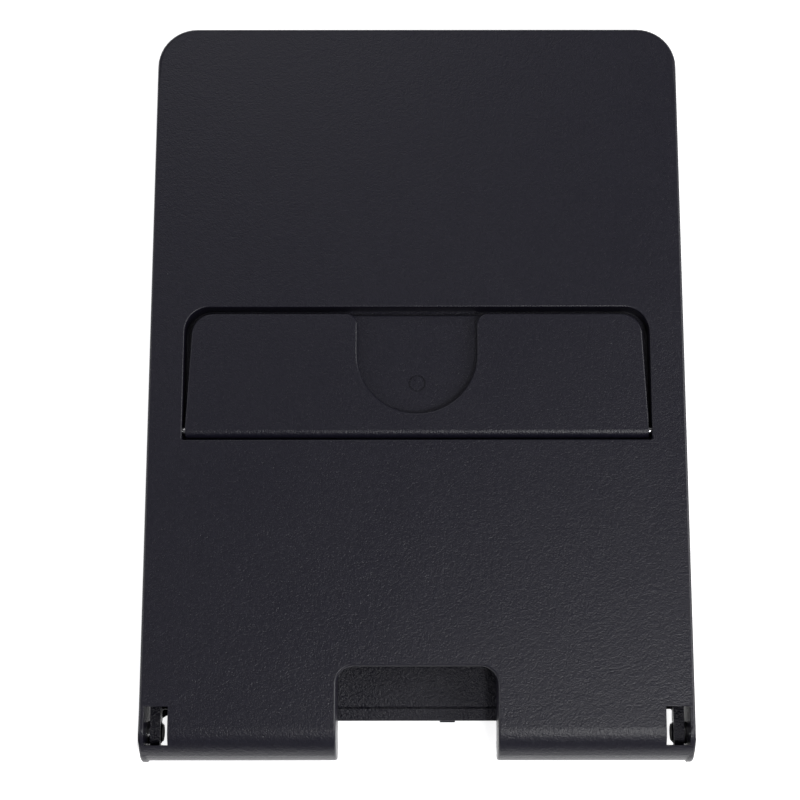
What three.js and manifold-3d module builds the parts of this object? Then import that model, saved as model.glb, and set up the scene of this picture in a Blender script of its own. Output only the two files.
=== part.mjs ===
// Folding desk stand, modelled folded flat with its front face up. Units are millimetres, +Z is up.
// X runs across the stand, +Y from the hinge end to the free end, and Z = 0 is the desk top.
import * as THREE from 'three';
import { mergeVertices } from 'three/addons/utils/BufferGeometryUtils.js';
import Module from 'manifold-3d';

const wasm = await Module();
wasm.setup();

// ---- driving dimensions -------------------------------------------------------------------------
const PANEL_WIDTH = 100.2;
const PANEL_LENGTH = 139;
const FOLDED_HEIGHT = 12;
const PLATE = 2.4; // thickness of the backrest's face and of its rounded hinge end
const SKIRT = 1.4; // thickness of the wall round the backrest
const PANEL_CORNER = 7.5;
const CHEEK_OVERHANG = 0.3; // how far the hinge cheeks stand out past the rounded end
const GAP = 0.3; // space kept between neighbouring pieces

const BASE = {
  halfWidth: 48.3, thickness: 3, frontEdge: 7, end: 136.9, corner: 6.1,
  bead: 9.2, beadGroove: 0.4, flexSlot: 9.1,
};
const BASE_RECESS = { margin: 20, near: 24, farMargin: 22, corner: 5, depth: 0.8 }; // in its underside
const GATE_STUB = { left: 4.2, right: 7, proud: 0.3, bottom: 1.6, top: 3 };
const FOOT_PAD = { radius: 4.5, height: 1.2, proud: 0.8, insetX: 9, insetY: 11 };
const MAIN_PIN = { radius: 2, fromEnd: 5, height: 5.8, chamfer: 0.45, inner: 46.4, outer: 49.9 };
const WINDOW = { inner: 44.8, outer: 49.1, near: 2.9, far: 9.8 };
const EAR = { inner: 46.5, innerFoot: 47.5, outer: 48.4, radius: 3.3, slopeStart: 12.5, armEnd: 15 };
const NOTCH = { halfWidth: 14.6, depth: 16.9, corner: 3.1, wall: 1.4 };
const POCKET = { halfWidth: 43.6, near: 58.3, far: 83.5, corner: 4.7, floor: 9.85, groove: 8.2, wall: 1.4 };
const RIBS = { height: 1.6, thickness: 1.2, sideX: 31, acrossAt: [20, 34, 98, 111, 124] };
const THUMB_CUT = { halfWidth: 14, depth: 2.6, reach: 3 }; // lets a finger lift the free end
const SHELF = {
  halfWidth: 42.3, hingeHalfWidth: 43.1, far: 82.3, corner: 4, thickness: 1.6, recess: 0.3,
  barrel: 1.4, axis: 60.2, uHalfWidth: 11.25, uCentre: 74.6, uLip: 2,
};
const SHELF_PIN = { radius: 0.75, inner: 40.4, outer: 46.2 };
const GRIP_PAD = { length: 22, width: 7, thickness: 0.5, proud: 0.1, centreX: 27, centreY: 71.4 };
const PROP = {
  halfWidth: 22, axis: 53.5, height: 7.2, barrel: 1.8, length: 61.5, thickness: 2.2, drop: 0.6, corner: 4,
};
const PROP_PIN = { radius: 1, inner: 17.5, outer: 26.3 };
const PROP_LUG = { radius: 2.3, thickness: 3, gap: 0.5, rootNear: 3.6, rootFar: 3 };
const PROP_RECESS = { margin: 4, near: 8, farMargin: 12, depth: 0.7 }; // in its upper face
const PROP_SEATS = { distances: [58.4, 70.1, 81.3], halfWidth: 24, width: 3.4, depth: 1.3 };
const ARC = 6; // an arc is drawn with twice this many steps
const REACH = 1; // how far one solid runs into another that it joins or cuts
const PIN_PLAY = 0.15; // room round a main hinge pin in its hole
const SMALL_PIN_PLAY = 0.12;

// ---- places worked out from them ----------------------------------------------------------------
const HALF = (PANEL_LENGTH + CHEEK_OVERHANG) / 2;
const along = (fromEnd) => fromEnd + CHEEK_OVERHANG - HALF; // Y of a distance from the rounded end
const TOP = FOLDED_HEIGHT;
const UNDERSIDE = TOP - PLATE;
const PIN_Y = along(MAIN_PIN.fromEnd);
const PIN_Z = MAIN_PIN.height;
const END_RADIUS = TOP - PIN_Z;
const END_Y = along(END_RADIUS);
const BASE_BOTTOM = FOOT_PAD.proud;
const BASE_TOP = BASE_BOTTOM + BASE.thickness;
const SKIRT_BOTTOM = 2.4;
const LIP_BOTTOM = 3.4;
const SHELF_TOP = TOP - SHELF.recess;
const SHELF_BOTTOM = SHELF_TOP - SHELF.thickness;
const SHELF_AXIS_Z = SHELF_TOP - SHELF.barrel;
const SHELF_AXIS_Y = along(SHELF.axis);
const PROP_Y = along(PROP.axis);
const PROP_TOP = PROP.height - PROP.drop;
const PROP_BOTTOM = PROP_TOP - PROP.thickness;

// ---- materials ----------------------------------------------------------------------------------
const plastic = (color) => new THREE.MeshStandardMaterial({ color, roughness: 0.55, metalness: 0 });
const BLACK_ABS = plastic(0x26262b);
const SHELF_ABS = plastic(0x28282d);
const INNER_ABS = plastic(0x232327);
const RUBBER = new THREE.MeshStandardMaterial({ color: 0x1a1a1c, roughness: 0.9, metalness: 0 });
const STEEL = new THREE.MeshStandardMaterial({ color: 0xb4b6ba, roughness: 0.35, metalness: 1 });

// ---- solids -------------------------------------------------------------------------------------
function solid(geometry) {
  geometry.deleteAttribute('normal');
  geometry.deleteAttribute('uv');
  const merged = mergeVertices(geometry, 1e-4);
  return new wasm.Manifold(new wasm.Mesh({
    numProp: 3,
    vertProperties: new Float32Array(merged.attributes.position.array),
    triVerts: new Uint32Array(merged.index.array),
  }));
}

const extruded = (shape, depth) => (
  new THREE.ExtrudeGeometry(shape, { depth, bevelEnabled: false, curveSegments: ARC })
);

// A plan drawn in the X-Y plane, run up from bottom to top.
function upright(shape, bottom, top) {
  return solid(extruded(shape, top - bottom).translate(0, 0, bottom));
}

// A section drawn in the Y-Z plane, run along X.
function across(shape, left, right) {
  const toSide = new THREE.Matrix4().makeBasis(
    new THREE.Vector3(0, 1, 0), new THREE.Vector3(0, 0, 1), new THREE.Vector3(1, 0, 0),
  );
  return solid(extruded(shape, right - left).applyMatrix4(toSide).translate(left, 0, 0));
}

// A section drawn in the X-Z plane, run along Y.
function lengthways(shape, near, far) {
  const toFront = new THREE.Matrix4().makeBasis(
    new THREE.Vector3(1, 0, 0), new THREE.Vector3(0, 0, 1), new THREE.Vector3(0, -1, 0),
  );
  return solid(extruded(shape, far - near).applyMatrix4(toFront).translate(0, far, 0));
}

function block(left, right, near, far, bottom, top) {
  const geometry = new THREE.BoxGeometry(right - left, far - near, top - bottom);
  return solid(geometry.translate((left + right) / 2, (near + far) / 2, (bottom + top) / 2));
}

function rod(radius, left, right, y, z, sides = 24) {
  const geometry = new THREE.CylinderGeometry(radius, radius, right - left, sides);
  return solid(geometry.rotateZ(Math.PI / 2).translate((left + right) / 2, y, z));
}

function puck(radius, x, y, bottom, top, sides = 28) {
  const geometry = new THREE.CylinderGeometry(radius, radius, top - bottom, sides);
  return solid(geometry.rotateX(Math.PI / 2).translate(x, y, (bottom + top) / 2));
}

const joined = (...pieces) => pieces.reduce((whole, piece) => whole.add(piece));
const cut = (whole, ...tools) => tools.reduce((rest, tool) => rest.subtract(tool), whole);
const SIDES = [-1, 1];

// Calls make(low, high) with the X range from inner to outer on the left (-1) or right (+1) side.
function onSide(side, inner, outer, make) {
  const [low, high] = side < 0 ? [-outer, -inner] : [inner, outer];
  return make(low, high);
}

function polygon(points) {
  return new THREE.Shape(points.map(([a, b]) => new THREE.Vector2(a, b)));
}

// A rectangle with its own radius on the two near and the two far corners.
function roundedRectangle(halfWidth, near, far, nearRadius, farRadius) {
  const corners = [
    [1, near + nearRadius, nearRadius],
    [1, far - farRadius, farRadius],
    [-1, far - farRadius, farRadius],
    [-1, near + nearRadius, nearRadius],
  ];
  const steps = 2 * ARC;
  const points = corners.flatMap(([side, y, radius], quarter) => (
    Array.from({ length: radius > 0 ? steps + 1 : 1 }, (_, step) => {
      const angle = (quarter - 1 + step / steps) * Math.PI / 2;
      const x = side * (halfWidth - radius);
      return [x + radius * Math.cos(angle), y + radius * Math.sin(angle)];
    })
  ));
  return polygon(points);
}

// ---- backrest -----------------------------------------------------------------------------------
// Side view of the outer form: flat top, rounded hinge end, and a lip where the end wall stops.
function outerSection(far) {
  const shape = new THREE.Shape();
  const lipAngle = Math.PI + Math.asin((PIN_Z - LIP_BOTTOM) / END_RADIUS);
  shape.moveTo(far, SKIRT_BOTTOM);
  shape.lineTo(far, TOP);
  shape.lineTo(END_Y, TOP);
  shape.absarc(END_Y, PIN_Z, END_RADIUS, Math.PI / 2, lipAngle);
  shape.lineTo(along(4), LIP_BOTTOM);
  shape.lineTo(along(4.4), SKIRT_BOTTOM);
  return shape;
}

// Side view of the space inside it, open underneath.
function innerSection(far) {
  const shape = new THREE.Shape();
  const radius = END_RADIUS - PLATE;
  shape.moveTo(far, 0);
  shape.lineTo(far, UNDERSIDE);
  shape.lineTo(END_Y, UNDERSIDE);
  shape.absarc(END_Y, PIN_Z, radius, Math.PI / 2, Math.PI + Math.asin((PIN_Z - LIP_BOTTOM) / radius));
  shape.lineTo(along(3.2), 0);
  return shape;
}

function backrestShell() {
  const half = PANEL_WIDTH / 2;
  const outer = across(outerSection(along(PANEL_LENGTH)), -half, half);
  const plan = upright(roundedRectangle(half, along(-REACH), along(PANEL_LENGTH), 0, PANEL_CORNER), 0, TOP);
  const hollowHalf = half - SKIRT;
  const hollowEnd = along(PANEL_LENGTH) - SKIRT;
  const hollow = across(innerSection(hollowEnd), -hollowHalf, hollowHalf);
  const hollowPlan = upright(
    roundedRectangle(hollowHalf, along(0), hollowEnd, 0, PANEL_CORNER - SKIRT), -REACH, TOP,
  );
  return outer.intersect(plan).subtract(hollow.intersect(hollowPlan));
}

// The walls that close each leg beside the cable notch and beside the hinge window.
function legWall(side, inner, outer, far) {
  const section = polygon([
    [PIN_Y - 4.3, PIN_Z - 2.2],
    [PIN_Y - 1.8, PIN_Z - 1.9],
    [PIN_Y + 1.6, PIN_Z - 1.5],
    [far, PIN_Z - 1.5],
    [far, UNDERSIDE + REACH],
    [END_Y, UNDERSIDE + REACH],
    [PIN_Y - 3.4, PIN_Z + 1.6],
  ]);
  return onSide(side, inner, outer, (low, high) => across(section, low, high));
}

function hingeCheek(side) {
  const disc = new THREE.Shape();
  const radius = MAIN_PIN.fromEnd + CHEEK_OVERHANG;
  const lipAngle = Math.PI + Math.asin((PIN_Z - LIP_BOTTOM) / radius);
  disc.moveTo(PIN_Y + 2, LIP_BOTTOM);
  disc.lineTo(PIN_Y + 2, PIN_Z + 5);
  disc.lineTo(PIN_Y, PIN_Z + radius);
  disc.absarc(PIN_Y, PIN_Z, radius, Math.PI / 2, lipAngle);
  return onSide(side, WINDOW.outer, PANEL_WIDTH / 2, (low, high) => across(disc, low, high));
}

function pocketTub() {
  const { halfWidth, near, far, wall, groove } = POCKET;
  return upright(
    roundedRectangle(halfWidth + wall, along(near - wall), along(far + wall), 2, POCKET.corner + wall),
    groove - 1, UNDERSIDE + REACH,
  );
}

function pocketCut() {
  const { halfWidth, near, far, corner } = POCKET;
  const plan = roundedRectangle(halfWidth, along(near), along(far), 0.4, corner);
  const whole = upright(plan, POCKET.groove, TOP + REACH);
  const floorNear = along(SHELF.axis + SHELF.barrel + 0.6);
  const floor = upright(
    roundedRectangle(SHELF.halfWidth, floorNear, along(SHELF.far), 0.6, SHELF.corner), 0, POCKET.floor,
  );
  return whole.subtract(floor);
}

function shelfPinBoss(side) {
  return onSide(side, POCKET.halfWidth + 0.4, SHELF_PIN.outer + 1, (low, high) => (
    block(low, high, SHELF_AXIS_Y - 2, SHELF_AXIS_Y + 2.4, POCKET.groove, UNDERSIDE + REACH)
  ));
}

function propLug(side) {
  const { radius, thickness, gap, rootNear, rootFar } = PROP_LUG;
  const inner = PROP.halfWidth + gap;
  const lug = new THREE.Shape();
  lug.moveTo(PROP_Y - rootNear, UNDERSIDE + REACH);
  lug.lineTo(PROP_Y - rootNear, UNDERSIDE);
  lug.absarc(PROP_Y, PROP.height, radius, Math.PI, Math.PI * 2);
  lug.lineTo(PROP_Y + rootFar, UNDERSIDE);
  lug.lineTo(PROP_Y + rootFar, UNDERSIDE + REACH);
  return onSide(side, inner, inner + thickness, (low, high) => across(lug, low, high));
}

// Stiffening ribs under the face, which leave the middle free for the prop leg.
function backrestRibs() {
  const half = RIBS.thickness / 2;
  const bottom = UNDERSIDE - RIBS.height;
  const top = UNDERSIDE + REACH;
  const edge = PANEL_WIDTH / 2 - REACH;
  const lengthwise = (x, near, far) => block(x - half, x + half, along(near), along(far), bottom, top);
  const crosswise = (y) => block(-edge, edge, y - half, y + half, bottom, top);
  const ribs = RIBS.acrossAt.map((fromEnd) => crosswise(along(fromEnd)));
  for (const side of SIDES) {
    ribs.push(lengthwise(side * RIBS.sideX, WINDOW.far + 2, POCKET.near - REACH));
    ribs.push(lengthwise(side * RIBS.sideX, POCKET.far + REACH, PANEL_LENGTH - REACH));
  }
  return joined(...ribs);
}

// A shallow arc out of the free end's wall.
function thumbCut() {
  const { halfWidth, depth, reach } = THUMB_CUT;
  const end = along(PANEL_LENGTH);
  return rod(halfWidth, end - reach, end + reach, 0, 0, 48)
    .rotate([0, 0, 90])
    .translate([0, 0, SKIRT_BOTTOM + depth - halfWidth]);
}

function backrestPanel() {
  let panel = joined(backrestShell(), pocketTub(), backrestRibs());
  for (const side of SIDES) {
    panel = joined(
      panel,
      legWall(side, NOTCH.halfWidth, NOTCH.halfWidth + NOTCH.wall, along(NOTCH.depth + NOTCH.wall)),
      legWall(side, WINDOW.inner - NOTCH.wall, WINDOW.inner, along(WINDOW.far + 2)),
      shelfPinBoss(side),
      propLug(side),
    );
  }
  const notchBack = block(
    -NOTCH.halfWidth - NOTCH.wall, NOTCH.halfWidth + NOTCH.wall,
    along(NOTCH.depth), along(NOTCH.depth + NOTCH.wall), PIN_Z + 1, UNDERSIDE + REACH,
  );
  const notchPlan = roundedRectangle(
    NOTCH.halfWidth, along(-NOTCH.depth), along(NOTCH.depth), 0, NOTCH.corner,
  );
  const notch = upright(notchPlan, 0, TOP + REACH);
  panel = cut(joined(panel, notchBack), notch, pocketCut());
  panel = panel.subtract(thumbCut());
  for (const side of SIDES) {
    const window = onSide(side, WINDOW.inner, WINDOW.outer, (low, high) => joined(
      block(low, high, along(WINDOW.near), along(WINDOW.far), -REACH, TOP + REACH),
      rod(EAR.radius + GAP, low, high, PIN_Y, PIN_Z, 32),
    ));
    panel = joined(panel.subtract(window), hingeCheek(side));
    const pinHoles = joined(
      onSide(side, WINDOW.outer - REACH, PANEL_WIDTH, (low, high) => (
        rod(MAIN_PIN.radius + PIN_PLAY, low, high, PIN_Y, PIN_Z)
      )),
      onSide(side, SHELF_PIN.inner, SHELF_PIN.outer + GAP, (low, high) => (
        rod(SHELF_PIN.radius + SMALL_PIN_PLAY, low, high, SHELF_AXIS_Y, SHELF_AXIS_Z, 16)
      )),
      onSide(side, PROP.halfWidth, PROP_PIN.outer + GAP, (low, high) => (
        rod(PROP_PIN.radius + SMALL_PIN_PLAY, low, high, PROP_Y, PROP.height, 16)
      )),
    );
    panel = panel.subtract(pinHoles);
  }
  return panel;
}

// ---- shelf --------------------------------------------------------------------------------------
function shelfOutline() {
  const { halfWidth, hingeHalfWidth, corner, uHalfWidth, uLip } = SHELF;
  const far = along(SHELF.far);
  const uCentre = along(SHELF.uCentre);
  const shape = new THREE.Shape();
  shape.moveTo(-hingeHalfWidth, SHELF_AXIS_Y);
  shape.lineTo(hingeHalfWidth, SHELF_AXIS_Y);
  shape.lineTo(halfWidth, far - corner);
  shape.absarc(halfWidth - corner, far - corner, corner, 0, Math.PI / 2);
  shape.lineTo(uHalfWidth + uLip, far);
  shape.absarc(uHalfWidth + uLip, far - uLip, uLip, Math.PI / 2, Math.PI);
  shape.lineTo(uHalfWidth, uCentre);
  shape.absarc(0, uCentre, uHalfWidth, 0, -Math.PI / 2, true);
  shape.absarc(0, uCentre, uHalfWidth, -Math.PI / 2, -Math.PI, true);
  shape.lineTo(-uHalfWidth, far - uLip);
  shape.absarc(-uHalfWidth - uLip, far - uLip, uLip, 0, Math.PI / 2);
  shape.lineTo(-halfWidth + corner, far);
  shape.absarc(-halfWidth + corner, far - corner, corner, Math.PI / 2, Math.PI);
  return shape;
}

function gripPad(side) {
  const { length, width, thickness, proud, centreX, centreY } = GRIP_PAD;
  const shape = roundedRectangle(length / 2, -width / 2, width / 2, 2, 2);
  const bottom = SHELF_BOTTOM - proud;
  return upright(shape, bottom, bottom + thickness).translate([side * centreX, along(centreY), 0]);
}

function shelf() {
  const plate = upright(shelfOutline(), SHELF_BOTTOM, SHELF_TOP);
  const hingeHalf = SHELF.hingeHalfWidth;
  const barrel = rod(SHELF.barrel, -hingeHalf, hingeHalf, SHELF_AXIS_Y, SHELF_AXIS_Z, 32);
  let body = joined(plate, barrel);
  for (const side of SIDES) {
    const { length, width, thickness, proud, centreX, centreY } = GRIP_PAD;
    const seat = upright(
      roundedRectangle(length / 2 + GAP, -width / 2 - GAP, width / 2 + GAP, 2 + GAP, 2 + GAP),
      SHELF_BOTTOM - REACH, SHELF_BOTTOM + thickness - proud + GAP,
    ).translate([side * centreX, along(centreY), 0]);
    const pinHole = onSide(side, SHELF_PIN.inner - GAP, SHELF.hingeHalfWidth + REACH, (low, high) => (
      rod(SHELF_PIN.radius + SMALL_PIN_PLAY, low, high, SHELF_AXIS_Y, SHELF_AXIS_Z, 16)
    ));
    body = body.subtract(joined(seat, pinHole));
  }
  return body;
}

// ---- prop leg -----------------------------------------------------------------------------------
function propLeg() {
  const { halfWidth, length, thickness, corner, barrel } = PROP;
  const tip = PROP_Y + length;
  const plan = roundedRectangle(halfWidth, PROP_Y, tip - thickness / 2, 0, corner);
  const plate = upright(plan, PROP_BOTTOM, PROP_TOP);
  const edge = rod(thickness / 2, -halfWidth + corner, halfWidth - corner, tip - thickness / 2,
    (PROP_BOTTOM + PROP_TOP) / 2, 24);
  const knuckle = rod(barrel, -halfWidth, halfWidth, PROP_Y, PROP.height, 28);
  const web = block(-halfWidth, halfWidth, PROP_Y - 1.2, PROP_Y + 1.2, PROP_BOTTOM + 0.5, PROP.height);
  let leg = joined(plate, edge, knuckle, web);
  const { margin, near, farMargin, depth } = PROP_RECESS;
  const sunk = roundedRectangle(halfWidth - margin, PROP_Y + near, tip - farMargin, 3, 3);
  leg = leg.subtract(upright(sunk, PROP_TOP - depth, PROP_TOP + REACH));
  for (const side of SIDES) {
    leg = leg.subtract(onSide(side, PROP_PIN.inner - GAP, halfWidth + REACH, (low, high) => (
      rod(PROP_PIN.radius + SMALL_PIN_PLAY, low, high, PROP_Y, PROP.height, 16)
    )));
  }
  return leg;
}

// ---- base ---------------------------------------------------------------------------------------
// An ear holds the hinge pin. Its inner face leans outwards towards its foot, so that it can be moulded.
function hingeEar(side) {
  const top = PIN_Z + EAR.radius;
  const arm = polygon([
    [PIN_Y, top],
    [PIN_Y + 1.4, PIN_Z - EAR.radius + 0.4],
    [PIN_Y + 2.2, BASE_BOTTOM],
    [along(EAR.armEnd), BASE_BOTTOM],
    [along(EAR.armEnd), BASE_TOP],
    [along(EAR.slopeStart), top],
  ]);
  const leaning = polygon([
    [side * EAR.innerFoot, BASE_BOTTOM],
    [side * EAR.outer, BASE_BOTTOM],
    [side * EAR.outer, top],
    [side * EAR.inner, top],
  ]);
  return onSide(side, EAR.inner, EAR.outer, (low, high) => (
    joined(across(arm, low, high), rod(EAR.radius, low, high, PIN_Y, PIN_Z, 32))
      .intersect(lengthways(leaning, along(-1), along(EAR.armEnd + 1)))
  ));
}

function propSeats() {
  const { distances, halfWidth, width, depth } = PROP_SEATS;
  return distances.map((distance) => {
    const y = PIN_Y + distance;
    const section = polygon([
      [y - width / 2, BASE_TOP + 1],
      [y - width / 2, BASE_TOP],
      [y - width / 2 + 0.6, BASE_TOP - depth],
      [y + width / 2 - 0.6, BASE_TOP - depth],
      [y + width / 2, BASE_TOP],
      [y + width / 2, BASE_TOP + 1],
    ]);
    return across(section, -halfWidth, halfWidth);
  });
}

function footPlaces() {
  const x = BASE.halfWidth - FOOT_PAD.insetX;
  const near = along(BASE.frontEdge + FOOT_PAD.insetY);
  const far = along(BASE.end - FOOT_PAD.insetY);
  return [['front_left', -x, near], ['front_right', x, near], ['rear_left', -x, far], ['rear_right', x, far]];
}

function basePlate() {
  const { halfWidth, corner } = BASE;
  const { margin, near, farMargin, corner: recessCorner, depth } = BASE_RECESS;
  const plan = roundedRectangle(halfWidth, along(BASE.frontEdge), along(BASE.end), 0.6, corner);
  let base = upright(plan, BASE_BOTTOM, BASE_TOP);
  const beadHalf = WINDOW.inner - REACH;
  const frontGroove = block(
    -beadHalf, beadHalf, along(BASE.bead), along(BASE.bead + BASE.beadGroove),
    BASE_TOP - 0.5, BASE_TOP + REACH,
  );
  const recessPlan = roundedRectangle(
    halfWidth - margin, along(near), along(BASE.end - farMargin), recessCorner, recessCorner,
  );
  const underRecess = upright(recessPlan, 0, BASE_BOTTOM + depth);
  base = cut(base, frontGroove, underRecess, ...propSeats());
  for (const side of SIDES) {
    const flexSlot = onSide(side, WINDOW.inner - 0.4, EAR.innerFoot, (low, high) => (
      block(low, high, along(0), along(BASE.flexSlot), 0, TOP)
    ));
    base = joined(base.subtract(flexSlot), hingeEar(side));
    base = base.subtract(onSide(side, EAR.inner - REACH, EAR.outer + REACH, (low, high) => (
      rod(MAIN_PIN.radius + PIN_PLAY, low, high, PIN_Y, PIN_Z)
    )));
  }
  const { left, right, proud, bottom, top } = GATE_STUB;
  const gateStub = block(
    left, right, along(BASE.frontEdge - proud), along(BASE.frontEdge + REACH), bottom, top,
  );
  base = joined(base, gateStub);
  for (const [, x, y] of footPlaces()) {
    base = base.subtract(puck(FOOT_PAD.radius + GAP, x, y, 0, FOOT_PAD.height + GAP));
  }
  return base;
}

// ---- pins ---------------------------------------------------------------------------------------
// A round pin along X whose inner end has a chamfer.
function hingePin(side, radius, inner, outer, chamfer, y, z, sides) {
  const profile = [
    new THREE.Vector2(0, inner),
    new THREE.Vector2(radius - chamfer, inner),
    new THREE.Vector2(radius, inner + chamfer),
    new THREE.Vector2(radius, outer - chamfer / 2),
    new THREE.Vector2(radius - chamfer / 2, outer),
    new THREE.Vector2(0, outer),
  ];
  const lathe = new THREE.LatheGeometry(profile, sides);
  const turn = side > 0 ? -Math.PI / 2 : Math.PI / 2;
  return solid(lathe.rotateZ(turn).translate(0, y, z));
}

// ---- assembly -----------------------------------------------------------------------------------
const stand = new THREE.Group();

function place(name, body, material) {
  const { vertProperties, triVerts } = body.getMesh();
  const geometry = new THREE.BufferGeometry();
  geometry.setAttribute('position', new THREE.BufferAttribute(vertProperties, 3));
  geometry.setIndex(new THREE.BufferAttribute(triVerts, 1));
  geometry.computeVertexNormals();
  const mesh = new THREE.Mesh(geometry, material);
  mesh.name = name;
  stand.add(mesh);
}

place('base_plate', basePlate(), INNER_ABS);
place('backrest_panel', backrestPanel(), BLACK_ABS);
place('shelf', shelf(), SHELF_ABS);
place('prop_leg', propLeg(), INNER_ABS);
for (const [name, x, y] of footPlaces()) {
  place(`foot_pad_${name}`, puck(FOOT_PAD.radius, x, y, 0, FOOT_PAD.height), RUBBER);
}
for (const side of SIDES) {
  const hand = side < 0 ? 'left' : 'right';
  place(`shelf_grip_pad_${hand}`, gripPad(side), RUBBER);
  place(`base_hinge_pin_${hand}`, hingePin(
    side, MAIN_PIN.radius, MAIN_PIN.inner, MAIN_PIN.outer, MAIN_PIN.chamfer, PIN_Y, PIN_Z, 24,
  ), STEEL);
  place(`shelf_hinge_pin_${hand}`, hingePin(
    side, SHELF_PIN.radius, SHELF_PIN.inner, SHELF_PIN.outer, 0.2, SHELF_AXIS_Y, SHELF_AXIS_Z, 16,
  ), STEEL);
  place(`prop_hinge_pin_${hand}`, hingePin(
    side, PROP_PIN.radius, PROP_PIN.inner, PROP_PIN.outer, 0.25, PROP_Y, PROP.height, 16,
  ), STEEL);
}

export default stand;
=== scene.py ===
"""Folding desk stand: the finished look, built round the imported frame. Lengths are in metres."""

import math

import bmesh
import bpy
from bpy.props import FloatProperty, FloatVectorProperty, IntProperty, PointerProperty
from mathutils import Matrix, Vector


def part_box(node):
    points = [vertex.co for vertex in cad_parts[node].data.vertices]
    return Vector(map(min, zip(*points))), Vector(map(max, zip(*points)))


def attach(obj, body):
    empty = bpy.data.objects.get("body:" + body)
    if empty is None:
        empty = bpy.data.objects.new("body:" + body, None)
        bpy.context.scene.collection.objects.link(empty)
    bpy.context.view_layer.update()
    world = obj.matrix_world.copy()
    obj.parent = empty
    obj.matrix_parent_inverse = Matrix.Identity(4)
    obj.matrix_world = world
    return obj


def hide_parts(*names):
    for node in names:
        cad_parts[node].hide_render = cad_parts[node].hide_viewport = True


bl_info = {
    "name": "Folding Desk Stand",
    "version": (1, 0, 0),
    "blender": (4, 5, 0),
    "location": "3D View > Sidebar > Desk Stand",
    "description": "Builds a folding desk stand: backrest, shelf, base plate, prop leg, pins and pads",
    "category": "Object",
}

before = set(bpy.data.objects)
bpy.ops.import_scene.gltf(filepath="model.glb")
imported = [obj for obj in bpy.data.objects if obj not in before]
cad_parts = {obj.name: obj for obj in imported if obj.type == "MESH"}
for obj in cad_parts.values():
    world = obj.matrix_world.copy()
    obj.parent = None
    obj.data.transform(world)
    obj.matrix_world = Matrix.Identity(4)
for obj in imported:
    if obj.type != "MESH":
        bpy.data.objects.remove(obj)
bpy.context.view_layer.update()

MM = 0.001
SIDES = ("left", "right")
SNAP = 0.02 * MM  # how close a corner must lie to a plane to count as on it

PANEL_LOW, PANEL_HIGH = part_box("backrest_panel")
SHELF_LOW, SHELF_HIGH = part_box("shelf")
BASE_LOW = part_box("base_plate")[0]
PROP_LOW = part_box("prop_leg")[0]
PIN_LOW, PIN_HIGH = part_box("base_hinge_pin_right")
PIN_Y = (PIN_LOW.y + PIN_HIGH.y) / 2
PIN_Z = (PIN_LOW.z + PIN_HIGH.z) / 2
FREE_END = PANEL_HIGH.y
ROUND_END = PIN_Y - 5 * MM  # where the backrest's rounded end stops
CORNER = 7.5 * MM  # plan radius of the free end's corners
NOTCH_HALF = 14.6 * MM
ISLAND_Z = SHELF_HIGH.z - 1.85 * MM  # floor under the folded shelf
BASE_TOP = BASE_LOW.z + 3 * MM
FACE_UNDERSIDE = PANEL_HIGH.z - 2.4 * MM
WIDEST_RIM = 0.8 * MM
X, Z = 0, 2


def from_round_end(distance):
    """Y of a distance in millimetres from the backrest's rounded end"""
    return ROUND_END + distance * MM


WINDOW_INNER = 44 * MM  # the hinge windows lie farther from the middle than this
WINDOWS_END = from_round_end(12)  # and nearer the hinge end than this
PIN_HOLE_REACH = 4 * MM  # every edge of a main pin's hole is this close to the pin's axis
NOTCH_END = SHELF_LOW.y - 20 * MM  # the backrest's cable notch stops before this
GATE_Y = from_round_end(69.3)  # the middle of the ring that the mould's gate leaves
DISC_COLUMN = 40 * MM  # distance of the two columns of ejector discs from the middle
DISC_DISTANCES = (27, 46, 91, 104.5, 117.5, 131)  # of the discs from the rounded end, in millimetres
EAR_INNER = 46 * MM  # the base plate's hinge ears lie farther from the middle than this
PIN_CHAMFERS = {"base": 0.45 * MM, "shelf": 0.2 * MM, "prop": 0.25 * MM}
GRAIN_LOW, GRAIN_HIGH = 0.35, 0.95  # most of the grain's height lies between these
DUST_COLOUR = (0.2, 0.2, 0.2, 1)
DULLER = 0.04  # how much rougher the mouldings behind the face are
PAINTED_SHADE = 0.92  # and the share of the plastic's colour that they show: painted shade, since they sit behind the face
SHARP_TURN = math.radians(25)  # edges that turn by more than this can be rounded
FLAT_TURN = math.radians(0.3)  # and the ones that turn by less are dissolved
CREASE = math.radians(35)  # faces that meet at more than this are shaded apart
TURNED_CREASE = math.radians(38)  # the same on turned pieces and pads
CAMERA_X = 0.8 * MM
CAMERA_DISTANCE = 15.7  # of the camera from the rounded end, in millimetres
CAMERA_SHIFT = (-0.0268, 0.0120)
CAMERA_ROLL = math.radians(-0.04)
FLOOR_REACH = 1.5
FLOOR_GLOW = 0.8
DAYLIGHT_TINT = (0.96, 0.95, 1, 1)
LAMPS = {  # where each soft light hangs and how wide it is; it points at the stand
    "overhead": ((0.17, -0.27, 0.6), 0.12),
    "behind": ((-0.12, 0.46, 0.52), 0.35),
    "left": ((-0.55, -0.05, 0.36), 0.4),
    "right": ((0.55, 0.0, 0.36), 0.4),
}


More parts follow.
